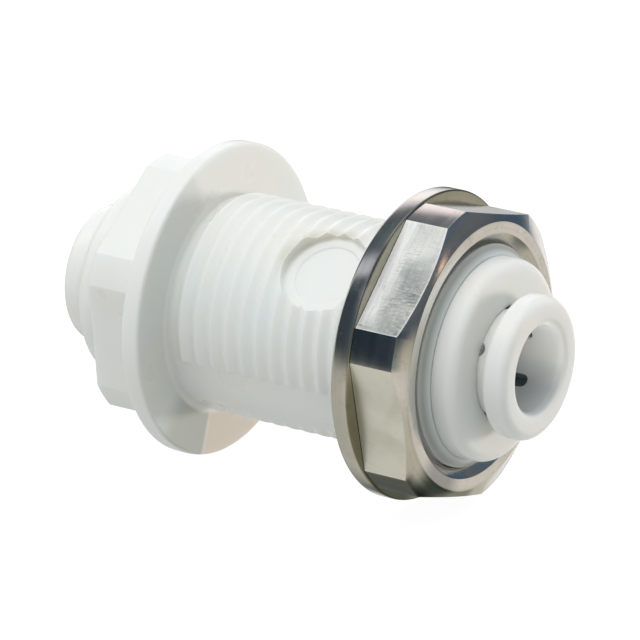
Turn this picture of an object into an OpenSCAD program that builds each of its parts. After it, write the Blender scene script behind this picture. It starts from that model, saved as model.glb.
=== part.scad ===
// Bulkhead (thru hull) tube fitting, shown with the lock nut run to the end of its thread.
// Millimetres. +X runs along the fitting from the hexagon end to the lock nut end, +Z is up.
// The origin is the centre of the flange face that seats on the hull.
// Angles round the axis are counted from +Z towards -Y, which is the front.

/* [Thread] */
// Outside diameter of the parallel pipe thread, size 3/8
thread_od = 16.66; // [16.5:0.01:16.8]
// Pitch of the thread, 19 turns to the inch
pitch = 1.337; // [1.3:0.001:1.36]
// Radial depth of the moulded thread, shallower than the full form's 0.856
thread_depth = 0.6; // [0.5:0.01:0.86]
// Width of the two smooth strips that part the thread, as an angle about the axis
strip_angle = 40; // [30:1:44]
// Length of the threaded shank from the seating face
shank_len = 22.6; // [22.5:0.05:22.9]

/* [Flange and hexagon] */
// Diameter of the round flange that seats on the hull
flange_d = 23.9; // [22.6:0.1:25]
// Thickness of the flange
flange_t = 1.54; // [1.3:0.02:2]
// Distance across the flats of the moulded hexagon
hex_af = 19.3; // [18.6:0.1:19.8]
// Diameter to which the corners of the hexagon are turned
hex_corner_d = 21; // [20.6:0.1:21.4]
// Height of the hexagon behind the flange
hex_h = 4.26; // [3.8:0.02:4.4]
// Turn of the hexagon about the axis
hex_turn = 6.3; // [0:0.1:60]
// Length of the plain boss between the hexagon and the left cap
boss_len = 1.2; // [1.1:0.01:1.6]

/* [Shank pad] */
// Diameter of the round recessed pad in the side of the shank
pad_d = 6.8; // [6.4:0.1:7]
// Distance of the pad's centre from the seating face
pad_x = 11.8; // [11.6:0.1:12.2]
// Turn of the pad about the axis
pad_turn = 36; // [0:0.5:90]
// How far the pad's middle sits round towards the front from the line square to its floor
pad_drop = 0.4; // [0.2:0.1:0.6]
// Distance of the pad's floor from the axis
pad_floor = 7.2; // [7.1:0.02:7.3]
// Depth of the gate spot in the middle of the pad
gate_depth = 0.14; // [0.1:0.02:0.2]

/* [Lock nut and washer] */
// Distance across the flats of the lock nut
nut_af = 21; // [20.6:0.1:21.4]
// Diameter to which the corners of the lock nut are turned
nut_corner_d = 22.92; // [22.7:0.02:23.1]
// Thickness of the lock nut
nut_t = 4.22; // [4:0.02:4.3]
// Distance of the lock nut's back face from the seating face
nut_x = 18.05; // [18.04:0.01:18.3]
// Turn of the lock nut about the axis at rest
nut_turn = 12.8; // [0:0.1:60]
// Length of the chamfer on the outer (+X) end of the lock nut
nut_chamfer = 0.69; // [0.5:0.01:0.8]
// Diameter of the flat washer behind the lock nut
washer_d = 23.22; // [23:0.02:23.4]
// Thickness of the flat washer
washer_t = 1.45; // [1.3:0.01:1.5]
// Radial clearance of the lock nut's bore over the thread crests
nut_clear = 0.09; // [0.05:0.01:0.1]

/* [Tube ports] */
// Bore of the tube socket, for tube of 6.35 outside diameter
socket_d = 6.5; // [6.45:0.01:6.6]
// Depth of the tube stop below the outer face of the cap
socket_depth = 14.5; // [14.2:0.1:14.8]
// Diameter of the waterway between the two tube stops
flow_d = 4.6; // [4.2:0.1:4.8]
// Free inner diameter of the seal ring
seal_id = 6.02; // [6:0.01:6.1]
// Section diameter of the seal ring
seal_cs = 1.78; // [1.7:0.01:1.8]

/* [Caps and collets] */
// Diameter of the cap's head
cap_d = 15.1; // [14.9:0.1:15.3]
// Length of the cap's head that stands out of the body
cap_h = 1.82; // [1.7:0.02:2]
// Radius of the rounded edge of the cap
cap_round = 0.8; // [0.6:0.05:1.1]
// Diameter of the collet's press ring
ring_d = 10.74; // [10.2:0.02:11]
// Length of the collet's press ring
ring_h = 1.89; // [1.75:0.01:2]
// Travel of the collet when it is pressed to let the tube go
press = 1.03; // [1.02:0.01:1.15]
// Outside diameter of the collet's neck
neck_d = 8.36; // [8.2:0.02:8.4]
// Width of the slots between the spring fingers
slot_w = 1.05; // [0.7:0.05:1.1]
// Height of the slots' outer ends above the outer face of the cap
slot_out = 0.3; // [0.1:0.02:0.3]
// Turn of the right collet's first slot about the axis; the left collet is swung end for end
slot_turn = -2; // [-180:1:180]

/* [Hidden] */
$fn = 96;

crest_r = thread_od / 2;
root_r = crest_r - thread_depth;
hex_x = -flange_t - hex_h;         // outer face of the hexagon
left_shoulder = hex_x - boss_len;  // face the left cap's head sits on
right_face = shank_len + cap_h;    // outer face of the right cap
left_face = left_shoulder - cap_h; // outer face of the left cap
slack = 0.02;                      // gap left between pieces pushed together
over = 1;                          // how far cutters run past the faces they open

// Heights in a port are counted from the cap's outer face, negative going into the body
skirt_r = 6.28;                    // outside of the cap's skirt
skirt_end = -6.66;                 // inner end of the cap's skirt
skirt_floor = -6.7;                // step in the body below the skirt
backup_floor = -7.72;              // step in the body below the backup ring
backup_seat_r = 5.68;
gland_floor = -9.62;
gland_r = seal_id / 2 + seal_cs + 0.06;
seal_z = -8.7;                     // middle plane of the seal

// Snap bead round the cap's skirt, and the groove it sits in
bead_top = -3.95;
bead_bottom = -4.65;
bead_ramp = 0.1;
bead_rise = 0.22;
groove_gap = 0.07;                 // extra length of the groove at each end
groove_rise = 0.27;

white = [0.93, 0.94, 0.93];
soft_white = [0.9, 0.91, 0.9];
nickel = [0.74, 0.72, 0.68];
steel = [0.62, 0.63, 0.64];
black = [0.09, 0.09, 0.09];

// Points of an arc about [x, y], in equal steps between two angles
function arc(x, y, radius, from, to, steps = 6) =
    [for (i = [0:steps]) let (angle = from + (to - from) * i / steps)
        [x + radius * cos(angle), y + radius * sin(angle)]];

// A solid turned about the X axis, from points [radius, x]
module turned(points) rotate([0, 90, 0]) rotate_extrude() polygon(points);

// Moves a piece drawn along +Z, with its origin at a cap's outer face, to either end
module at_right() translate([right_face, 0, 0]) rotate([0, 90, 0]) children();
module at_left() translate([left_face, 0, 0]) rotate([0, -90, 0]) children();

// A hexagon bar along X with its corners turned down to a cylinder
module hex_bar(across_flats, corner_d, x, length, turn)
    rotate([turn, 0, 0]) translate([x, 0, 0]) rotate([0, 90, 0]) intersection() {
        cylinder(h = length, d = across_flats / cos(30), $fn = 6);
        cylinder(h = length, d = corner_d);
    }

/* ---- body: flange, hexagon, threaded shank and both tube sockets ---- */

thread_x = 0.75;        // start of the first ridge
lead_in_len = 0.6;
lead_in_depth = 0.63;
relief_r = crest_r + 0.12;
relief_depth = 0.15;
flange_round = 0.25;
hex_overlap = 0.1;      // the hexagon runs this far into the flange
strip_x = 0.4;          // start of the smooth strips
strip_short = 1.8;      // how much shorter they are than the shank
gate_d = 0.74 * pad_d;
last_ridge = floor((shank_len - thread_x - lead_in_len) / pitch) - 1;

// Ridge i of the thread as [radius, x]: root, both edges of the crest, root
function ridge(i) = let (x = thread_x + i * pitch) [
    [root_r, x],
    [crest_r, x + 0.34 * pitch],
    [crest_r, x + 0.56 * pitch],
    [root_r, x + 0.9 * pitch]];

module shank_and_flange() {
    rim_r = flange_d / 2 - flange_round;
    turned(concat(
        // lead-in chamfer and the last land of the thread
        [[0, shank_len], [crest_r - lead_in_depth, shank_len], [crest_r, shank_len - lead_in_len]],
        [for (k = [1:-1:0]) ridge(last_ridge)[k]],
        [for (i = [last_ridge - 1:-1:0], k = [3:-1:0]) ridge(i)[k]],
        // shallow relief round the thread, so that the flange seats on the flat ring outside it
        [[root_r, -relief_depth], [relief_r, -relief_depth], [relief_r, 0]],
        arc(rim_r, -flange_round, flange_round, 90, 0, 3),
        arc(rim_r, -flange_t + flange_round, flange_round, 0, -90, 3),
        [[cap_d / 2, -flange_t], [cap_d / 2, left_shoulder], [0, left_shoulder]]));
}

// Waterway, tube socket, seal gland and cap recess of one end, along +Z
module port_cut() {
    // the two waterways overlap in the middle of the fitting
    flow_end = -(right_face - left_face) / 2 - 0.5;
    flow_r = flow_d / 2;
    socket_r = socket_d / 2;
    recess_r = skirt_r + slack;
    groove_r = skirt_r + groove_rise;
    groove_bottom = bead_bottom - groove_gap;
    groove_top = bead_top + groove_gap;
    rotate_extrude() polygon([
        [0, flow_end], [flow_r, flow_end],
        [flow_r, -socket_depth], [socket_r, -socket_depth],
        [socket_r, gland_floor], [gland_r, gland_floor],
        [gland_r, backup_floor], [backup_seat_r, backup_floor],
        [backup_seat_r, skirt_floor], [recess_r, skirt_floor],
        [recess_r, groove_bottom], [groove_r, groove_bottom + bead_ramp],
        [groove_r, groove_top - bead_ramp], [recess_r, groove_top],
        [recess_r, over], [0, over]]);
}

// Smooth strips along the shank, a quarter turn to each side of the pad
module strip_cuts() for (side = [90, -90])
    rotate([pad_turn + side, 0, 0])
        translate([strip_x, -crest_r, crest_r * cos(strip_angle / 2)])
            cube([shank_len - strip_short, 2 * crest_r, 2]);

// Round pad that interrupts the thread, with the gate spot in its middle
module pad_cut() rotate([pad_turn, 0, 0]) translate([pad_x, -pad_drop, pad_floor]) {
    cylinder(h = 4, d = pad_d);
    translate([0, 0, -gate_depth]) cylinder(h = 1, d = gate_d);
}

module bulkhead_body() color(white) difference() {
    union() {
        shank_and_flange();
        hex_bar(hex_af, hex_corner_d, hex_x, hex_h + hex_overlap, hex_turn);
    }
    at_right() port_cut();
    at_left() port_cut();
    strip_cuts();
    pad_cut();
}

/* ---- end caps: domed ring with a skirt that snaps into the body ---- */

cap_bore_r = 4.25;
skirt_bore_r = 5.35;
skirt_chamfer = 0.2;
cone_top = -1;
cone_bottom = -3.7;

module end_cap() color(soft_white) rotate_extrude() polygon(concat(
    [[cap_bore_r, 0]],
    arc(cap_d / 2 - cap_round, -cap_round, cap_round, 90, 0, 8),
    [[cap_d / 2, -cap_h + slack], [skirt_r, -cap_h + slack]],
    // snap bead
    [[skirt_r, bead_top], [skirt_r + bead_rise, bead_top - bead_ramp],
     [skirt_r + bead_rise, bead_bottom + bead_ramp], [skirt_r, bead_bottom]],
    [[skirt_r, skirt_end + skirt_chamfer], [skirt_r - skirt_chamfer, skirt_end],
     [skirt_bore_r, skirt_end]],
    // cone that closes the collet's fingers on the tube
    [[skirt_bore_r, cone_bottom], [cap_bore_r, cone_top]]));

module left_cap() at_left() end_cap();
module right_cap() at_right() end_cap();

/* ---- collets: press ring, neck and spring fingers ---- */

slots = [0, 62, 142, 229, 295]; // turns of a collet's slots from its first one
fingers = len(slots);
collet_bore_r = 3.25;
finger_end = -5.2;
finger_head_r = 4.85;
mouth_round = 0.85;             // both outer edges of the press ring
ring_under_round = 0.4;         // edge of the press ring next to the cap
tooth_half = 20;                // half the angle one tooth plate covers
gap_turn = 8;                   // degrees added at each end of a plate per mm of gap

// Section [radius, z] of a tooth plate, enlarged by gap, leaning inwards from root to tip
function tooth_profile(gap) =
    let (root_r = 4.05, root_z = -3.55, tip_r = 3.0, tip_z = -4.35) [
        [tip_r, tip_z - gap],
        [tip_r + 0.25, tip_z - gap],
        [root_r + gap, root_z - 0.28 - gap],
        [root_r + gap, root_z + gap],
        [root_r - 0.2, root_z + gap],
        [tip_r, tip_z + 0.12 + gap]];

// Turn of the middle of finger i from the first slot
function finger_mid(i) = (slots[i] + (i < fingers - 1 ? slots[i + 1] : slots[0] + 360)) / 2;

module finger_plates(gap) for (i = [0:fingers - 1])
    rotate([0, 0, finger_mid(i) - tooth_half - gap * gap_turn])
        rotate_extrude(angle = 2 * (tooth_half + gap * gap_turn)) polygon(tooth_profile(gap));

module collet_blank() {
    mouth_z = press + ring_h - mouth_round;
    rotate_extrude() polygon(concat(
        // inside, from the finger ends out to the rounded mouth
        [[collet_bore_r + 0.2, finger_end], [collet_bore_r, finger_end + 0.35]],
        arc(collet_bore_r + mouth_round, mouth_z, mouth_round, 180, 90),
        // press ring
        arc(ring_d / 2 - mouth_round, mouth_z, mouth_round, 90, 0),
        arc(ring_d / 2 - ring_under_round, press + ring_under_round, ring_under_round, 0, -90, 4),
        // neck and finger heads
        [[neck_d / 2, press], [neck_d / 2, -2.2], [finger_head_r, -3.2],
         [finger_head_r, -4.5], [finger_head_r - 0.5, finger_end]]));
}

module collet() color(white) difference() {
    collet_blank();
    for (turn = slots) rotate([0, 0, turn])
        translate([0, -slot_w / 2, finger_end - over])
            cube([8, slot_w, over - finger_end + slot_out]);
    finger_plates(slack);
}

// Turns a collet or its teeth so that the first slot lies at slot_turn on the right
module to_first_slot() rotate([0, 0, slot_turn - 180]) children();

module left_collet() at_left() to_first_slot() collet();
module right_collet() at_right() to_first_slot() collet();

/* ---- stainless grip teeth, one plate in each finger ---- */

module grip_teeth() color(steel) to_first_slot() finger_plates(0);
module left_grip_teeth() at_left() grip_teeth();
module right_grip_teeth() at_right() grip_teeth();

/* ---- seals and the rings that hold them ---- */

module o_ring() color(black) rotate_extrude()
    translate([seal_id / 2 + seal_cs / 2, seal_z]) circle(d = seal_cs, $fn = 48);
module left_o_ring() at_left() o_ring();
module right_o_ring() at_right() o_ring();

module backup_ring() {
    bore_r = 3.3;
    outer_r = backup_seat_r - 0.05;
    bottom = backup_floor + slack;
    top = skirt_floor - slack;
    color(soft_white) rotate_extrude() polygon([
        [bore_r, bottom], [outer_r, bottom], [outer_r, top],
        [bore_r + 0.45, top], [bore_r, top - 0.38]]);
}
module left_backup_ring() at_left() backup_ring();
module right_backup_ring() at_right() backup_ring();

/* ---- lock nut and its washer, free to run along the shank ---- */

module nut_washer() {
    hole_r = crest_r + 0.14;
    outer_r = washer_d / 2;
    nut_side = nut_x - slack;
    hull_side = nut_side - washer_t;
    hull_chamfer = 0.2;
    nut_side_chamfer = 0.15;
    color(nickel) turned([
        [hole_r, hull_side], [outer_r - hull_chamfer, hull_side],
        [outer_r, hull_side + hull_chamfer], [outer_r, nut_side - nut_side_chamfer],
        [outer_r - nut_side_chamfer, nut_side], [hole_r, nut_side]]);
}

module lock_nut() {
    nut_end = nut_x + nut_t;
    chamfer_x = nut_end - nut_chamfer;
    corner_r = nut_corner_d / 2;
    face_r = 10;       // outer end face inside the chamfer
    bore_r = crest_r + nut_clear;
    mouth_r = 9.12;    // bore where it opens at the outer end
    mouth_depth = 0.55;
    color(nickel) difference() {
        intersection() {
            hex_bar(nut_af, nut_corner_d, nut_x, nut_t, nut_turn);
            // chamfer that rounds off the corners at the outer end
            turned([[0, nut_x], [corner_r + 1, nut_x], [corner_r + 1, chamfer_x],
                    [corner_r, chamfer_x], [face_r, nut_end], [0, nut_end]]);
        }
        // bore, flared at its outer end
        turned([[0, nut_x - over], [bore_r, nut_x - over], [bore_r, nut_end - mouth_depth],
                [mouth_r, nut_end], [mouth_r, nut_end + over], [0, nut_end + over]]);
    }
}

bulkhead_body();
left_cap();
right_cap();
left_collet();
right_collet();
left_grip_teeth();
right_grip_teeth();
left_o_ring();
right_o_ring();
left_backup_ring();
right_backup_ring();
nut_washer();
lock_nut();
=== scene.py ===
"""A white push-in bulkhead tube fitting with a nickel lock nut and washer.

The axis lies along X and +Z is up. x = 0 is the right (+X) face of the flange: the threaded
shank runs to +X, the hexagon and the left port to -X. Angles round the axis are in degrees
from +Z towards -Y. Lengths are millimetres until a mesh, light or shader distance is made.
"""
import math
from functools import cached_property

import bmesh
import bpy
import numpy as np
from mathutils import Matrix, Vector


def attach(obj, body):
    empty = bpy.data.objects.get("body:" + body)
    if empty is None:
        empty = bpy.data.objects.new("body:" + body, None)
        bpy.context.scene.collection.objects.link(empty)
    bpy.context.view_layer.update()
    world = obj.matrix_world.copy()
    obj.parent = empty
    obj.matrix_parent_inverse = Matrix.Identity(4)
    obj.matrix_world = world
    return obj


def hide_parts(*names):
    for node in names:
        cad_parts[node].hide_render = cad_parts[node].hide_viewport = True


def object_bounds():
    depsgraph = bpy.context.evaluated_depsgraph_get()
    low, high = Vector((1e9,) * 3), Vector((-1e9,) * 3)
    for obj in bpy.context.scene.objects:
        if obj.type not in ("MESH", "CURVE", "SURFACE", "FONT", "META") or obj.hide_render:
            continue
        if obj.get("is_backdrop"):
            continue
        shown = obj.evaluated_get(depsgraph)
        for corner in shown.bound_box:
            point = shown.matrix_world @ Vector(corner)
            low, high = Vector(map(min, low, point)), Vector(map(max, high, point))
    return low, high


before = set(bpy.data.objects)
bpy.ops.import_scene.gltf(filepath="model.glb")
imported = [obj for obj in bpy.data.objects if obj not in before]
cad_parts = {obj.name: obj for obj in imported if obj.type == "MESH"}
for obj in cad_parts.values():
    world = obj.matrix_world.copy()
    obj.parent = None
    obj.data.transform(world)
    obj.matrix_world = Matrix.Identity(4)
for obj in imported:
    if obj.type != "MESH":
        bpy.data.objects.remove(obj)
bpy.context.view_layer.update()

MM = 0.001

# ---------------------------------------------------------------- dimensions, millimetres
PITCH = 1.337
THREAD_START = 0.242            # x of a thread root at angle 0
THREAD_FLAT = 0.17              # share of the triangular form cut off at the root and at the crest
THREAD_ROUNDING = 0.22          # how softly the form turns into its root and crest
THREAD_STEP = 0.045             # length of a mesh step along a thread
CREST_R = 8.33
ROOT_R = CREST_R - 0.36
STRIP_HALF = 20.0               # half-angle of a smooth strip in the thread

FLANGE_R, FLANGE_X = 11.95, -1.54
HEX_ACROSS, HEX_CORNER_R, HEX_TURN = 19.3, 10.5, 6.3
HEX_X = FLANGE_X - 4.26
SHOULDER_X, SHOULDER_R = HEX_X - 1.2, 7.55
SHANK_X = 22.6

CAP_H = 1.82
RIGHT_FACE = SHANK_X + CAP_H
LEFT_FACE = SHOULDER_X - CAP_H
MID_X = (RIGHT_FACE + LEFT_FACE) / 2
HALF_LENGTH = (RIGHT_FACE - LEFT_FACE) / 2

COLLET_GAP, COLLET_RING_H, COLLET_RING_R = 1.03, 1.89, 5.37
SLOT_ANGLES = [-2 + a for a in (0, 62, 142, 229, 295)]
SLOT_W, SLOT_OUT = 1.05, 0.3    # width; how far the rounded end reaches past the end face
SLOT_DEPTH = 7.0
SLOT_R = (2.0, 7.0)             # radial reach of the cutter

NUT_X, NUT_T = 18.05, 4.22
NUT_END = NUT_X + NUT_T
NUT_ACROSS, NUT_CORNER_R, NUT_TURN = 21.0, 11.46, 12.8
NUT_FACE_R, NUT_CHAMFER = 10.0, 0.69        # the end face's radius; chamfer length at a corner
NUT_BORE_R = CREST_R + 0.09
NUT_LEAD_LEFT, NUT_LEAD_RIGHT = 0.5, 0.55   # lengths of the bore's countersinks
WASHER_T, WASHER_HOLE_R, WASHER_R = 1.45, 8.47, 11.61

PAD_TURN, PAD_DROP, PAD_X, PAD_R, PAD_FLOOR = 36.0, 0.4, 11.8, 3.4, 7.2
PAD_FILLET = 0.3

# Port profile: distance out from the end face, radius, fillet radius, fillet steps
PORT = [
    (-3.88, 6.3, 0, 0), (-3.98, 6.55, 0, 0), (-4.62, 6.55, 0, 0), (-4.72, 6.3, 0, 0),
    (-6.7, 6.3, 0, 0), (-6.7, 5.68, 0, 0), (-7.72, 5.68, 0, 0), (-7.72, 4.85, 0, 0),
    (-9.62, 4.85, 0.2, 3), (-9.62, 3.25, 0.15, 3), (-14.5, 3.25, 0.2, 3), (-14.5, 2.3, 0.2, 3),
]
# Cap profile, same columns; its flange ends 0.01 clear of the body
CAP = [
    (0, 4.25, 0.1, 3), (0, 7.55, 0.85, 12), (0.01 - CAP_H, 7.55, 0.05, 3),
    (0.01 - CAP_H, 6.28, 0.1, 2), (-3.95, 6.28, 0, 0), (-4.05, 6.5, 0, 0), (-4.55, 6.5, 0, 0),
    (-4.65, 6.28, 0, 0), (-6.66, 6.28, 0.15, 3), (-6.66, 5.35, 0.1, 2), (-3.7, 5.35, 0, 0),
    (-1.0, 4.25, 0, 0),
]
# Collet profile, same columns
COLLET_TOP = COLLET_GAP + COLLET_RING_H
COLLET = [
    (-5.2, 3.45, 0.1, 2), (-4.85, 3.25, 0.1, 2), (COLLET_TOP, 3.25, 0.68, 12),
    (COLLET_TOP, COLLET_RING_R, 0.82, 12), (COLLET_GAP, COLLET_RING_R, 0.42, 7),
    (COLLET_GAP, 4.22, 0.15, 3), (-2.2, 4.22, 0.3, 3), (-3.2, 4.85, 0.2, 3),
    (-4.5, 4.85, 0.1, 2), (-5.2, 4.35, 0.1, 2),
]


# ---------------------------------------------------------------- profiles
def columns(count, edges=(), spread=0.0):
    """Angles round the axis: count even steps, plus a tight group at each edge angle."""
    angles = [360.0 * i / count for i in range(count)]
    for edge in edges:
        edge %= 360
        angles = [a for a in angles
                  if min(abs(a - edge), 360 - abs(a - edge)) > 0.55 * 360 / count]
        angles += [(edge - spread) % 360, edge, (edge + spread) % 360]
    return np.array(sorted(angles))


def row(x, r, count):
    """One profile point at every angle; x and r are each one number or one per angle."""
    return np.stack([np.full(count, x, float), np.full(count, r, float)], -1)


def between(a, b, count):
    """The points that split the way from a to b into count steps."""
    return [a + (b - a) * j / count for j in range(1, count)]


def from_face(profile, face, side):
    """Turns distances out from an end face into x; side is 1 at the right, -1 at the left."""
    return [(face + side * out, *rest) for out, *rest in profile]


def fillet_profile(corners, count):
    """Rounds the corners (x, r, fillet, steps) of a closed profile; a fillet of 0 stays sharp.
    Returns rows of shape (rows, count, 2)."""
    points = [row(x, r, count) for x, r, _, _ in corners]
    rows = []
    for i, (_, _, fillet, steps) in enumerate(corners):
        corner = points[i]
        if fillet <= 0:
            rows.append(corner)
            continue
        back = points[i - 1] - corner
        ahead = points[(i + 1) % len(points)] - corner
        back_length = np.linalg.norm(back, axis=1, keepdims=True)
        ahead_length = np.linalg.norm(ahead, axis=1, keepdims=True)
        back, ahead = back / back_length, ahead / ahead_length
        cosine = np.clip((back * ahead).sum(1, keepdims=True), -0.9999999, 0.9999999)
        half = np.arccos(cosine) / 2
        # a fillet takes no more than 0.48 of the shorter side
        reach = np.minimum(fillet / np.tan(half), 0.48 * np.minimum(back_length, ahead_length))
        radius = reach * np.tan(half)
        bisector = back + ahead
        bisector /= np.maximum(np.linalg.norm(bisector, axis=1, keepdims=True), 1e-12)
        centre = corner + bisector * (radius / np.sin(half))
        start = corner + back * reach - centre
        end = corner + ahead * reach - centre
        arc = math.pi - 2 * half
        for j in range(steps + 1):
            w = j / steps
            blend = np.sin((1 - w) * arc) * start + np.sin(w * arc) * end
            rows.append(centre + blend / np.sin(arc))
    return np.array(rows)


def smoothstep(t):
    t = np.clip(t, 0, 1)
    return t * t * (3 - 2 * t)


def flat_half_angle(across, corner_r):
    """Half the angle one flat of a hexagon with turned corners takes up."""
    return math.degrees(math.acos(across / 2 / corner_r))


def hex_radius(angles, across, corner_r, turn):
    """Radius of the hexagon at each angle; turn is the angle of a corner's middle."""
    offset = (angles - turn + 30) % 60 - 30
    flat = (across / 2) / np.cos(np.radians(30 - np.abs(offset)))
    return np.minimum(flat, corner_r)


def hex_edges(across, corner_r, turn):
    """Angles where the flats meet the turned corners."""
    half = 30 - flat_half_angle(across, corner_r)
    return [turn + 60 * k + side * half for k in range(6) for side in (-1, 1)]


def thread_form(triangle):
    """A triangle wave of 0 to 1, cut off and softened at the root and crest."""
    g = (triangle - THREAD_FLAT) / (1 - 2 * THREAD_FLAT)
    g = 0.5 * (g + 1 - np.sqrt((g - 1) ** 2 + THREAD_ROUNDING))
    return 0.5 * (g + np.sqrt(g * g + THREAD_ROUNDING))


def thread(x, angles):
    """Height of the right-hand thread at x, from 0 at the root to 1 at the crest."""
    turns = (x - THREAD_START) / PITCH - angles / 360.0
    triangle = 1 - np.abs(2 * (turns % 1.0) - 1)
    root, crest = thread_form(0), thread_form(1)
    return np.clip((thread_form(triangle) - root) / (crest - root), 0, 1)


# ---------------------------------------------------------------- meshes
def link_object(name, data):
    o = bpy.data.objects.new(name, data)
    bpy.context.scene.collection.objects.link(o)
    return o


def revolved(name, rows, angles):
    """A closed ring-shaped object from rows of (x, r) in the half-plane of each angle."""
    n, count = rows.shape[:2]
    phi = np.radians(angles)[None, :]
    x, r = rows[..., 0], rows[..., 1]
    co = np.stack([x, -r * np.sin(phi), r * np.cos(phi)], -1).reshape(-1, 3) * MM
    i = np.arange(n)[:, None]
    j = np.arange(count)[None, :]
    i2, j2 = (i + 1) % n, (j + 1) % count
    quads = np.stack([i * count + j, i2 * count + j, i2 * count + j2, i * count + j2], -1)
    quads = quads.reshape(-1, 4)
    # a negative volume means the faces look inwards
    a, b, c, d = (co[quads[:, k]] for k in range(4))
    volume = np.einsum("ij,ij->i", a, np.cross(b, c)).sum()
    volume += np.einsum("ij,ij->i", a, np.cross(c, d)).sum()
    if volume < 0:
        quads = quads[:, ::-1]
    mesh = bpy.data.meshes.new(name)
    mesh.vertices.add(len(co))
    mesh.vertices.foreach_set("co", co.astype(np.float32).ravel())
    mesh.loops.add(quads.size)
    mesh.loops.foreach_set("vertex_index", quads.astype(np.int32).ravel())
    mesh.polygons.add(len(quads))
    mesh.polygons.foreach_set("loop_start", np.arange(0, quads.size, 4, dtype=np.int32))
    mesh.polygons.foreach_set("use_smooth", np.ones(len(quads), bool))
    mesh.update(calc_edges=True)
    mesh.validate()
    return link_object(name, mesh)


def turned(name, corners, count):
    """A plain revolved ring from a profile of (x, r, fillet, steps)."""
    angles = columns(count)
    return revolved(name, fillet_profile(corners, len(angles)), angles)


def bmesh_object(name, bm):
    mesh = bpy.data.meshes.new(name)
    bm.to_mesh(mesh)
    bm.free()
    return link_object(name, mesh)


def apply_modifiers(o):
    graph = bpy.context.evaluated_depsgraph_get()
    graph.update()
    mesh = bpy.data.meshes.new_from_object(o.evaluated_get(graph))
    o.modifiers.clear()
    old = o.data
    o.data = mesh
    bpy.data.meshes.remove(old)


def cut(target, cutters, solver):
    """Takes the cutters out of the target and deletes them."""
    for cutter in cutters:
        boolean = target.modifiers.new("cut", "BOOLEAN")
        boolean.operation = "DIFFERENCE"
        boolean.solver = solver
        boolean.object = cutter
    apply_modifiers(target)
    for cutter in cutters:
        bpy.data.objects.remove(cutter)


def weigh_normals(o):
    """Large faces decide the normals at their corners, so flats beside a fillet shade flat."""
    weighted = o.modifiers.new("weigh", "WEIGHTED_NORMAL")
    weighted.mode = "FACE_AREA"
    weighted.weight = 50
    weighted.keep_sharp = True
    apply_modifiers(o)


def smooth_by_angle(o, degrees):
    """Smooth faces, with sharp edges where the surface turns by more than this."""
    for face in o.data.polygons:
        face.use_smooth = True
    bm = bmesh.new()
    bm.from_mesh(o.data)
    limit = math.radians(degrees)
    for edge in bm.edges:
        edge.smooth = not (len(edge.link_faces) == 2 and edge.calc_face_angle(0) > limit)
    bm.to_mesh(o.data)
    bm.free()


# ---------------------------------------------------------------- body
def shank_radius(x, angles, full_thread):
    """Threaded radius: fades in beside the flange and fills up to a plain collar at the end."""
    fade_in = smoothstep((x - 0.25) / 0.75)
    collar = smoothstep((x - 21.5) / 0.45)
    height = np.maximum(thread(x, angles), collar)
    strips = full_thread + (1 - full_thread) * np.clip((x - 21.2) / 0.3, 0, 1)
    return ROOT_R + (CREST_R - ROOT_R) * height * fade_in * strips


def make_pad_cutter():
    """A round pad's cutter: rounded floor edge and a shallow spot sunk in the floor."""
    floor, segments = PAD_FLOOR, 96
    profile = [(9.8, PAD_R + 0.3)]          # (height, radius), from the top down
    for k in range(7):
        a = math.radians(90 * k / 6)
        profile.append((floor + PAD_FILLET - PAD_FILLET * math.sin(a),
                        PAD_R - PAD_FILLET + PAD_FILLET * math.cos(a)))
    profile += [(floor, PAD_R - 0.78), (floor - 0.03, PAD_R - 0.83),
                (floor - 0.1, PAD_R - 0.9), (floor - 0.12, PAD_R - 1.0)]
    bm = bmesh.new()
    turns = [2 * math.pi * i / segments for i in range(segments)]
    loops = [[bm.verts.new((r * math.cos(a), r * math.sin(a), height)) for a in turns]
             for height, r in profile]
    for upper, lower in zip(loops, loops[1:]):
        for i in range(segments):
            j = (i + 1) % segments
            bm.faces.new((upper[i], upper[j], lower[j], lower[i]))
    bm.faces.new(list(reversed(loops[0])))
    bm.faces.new(loops[-1])
    bmesh.ops.recalc_face_normals(bm, faces=bm.faces)
    turn = Matrix.Rotation(math.radians(PAD_TURN), 4, "X")
    place = turn @ Matrix.Translation((PAD_X, -PAD_DROP, 0))
    bm.transform(Matrix.Scale(MM, 4) @ place)
    return bmesh_object("pad_cutter", bm)


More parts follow.
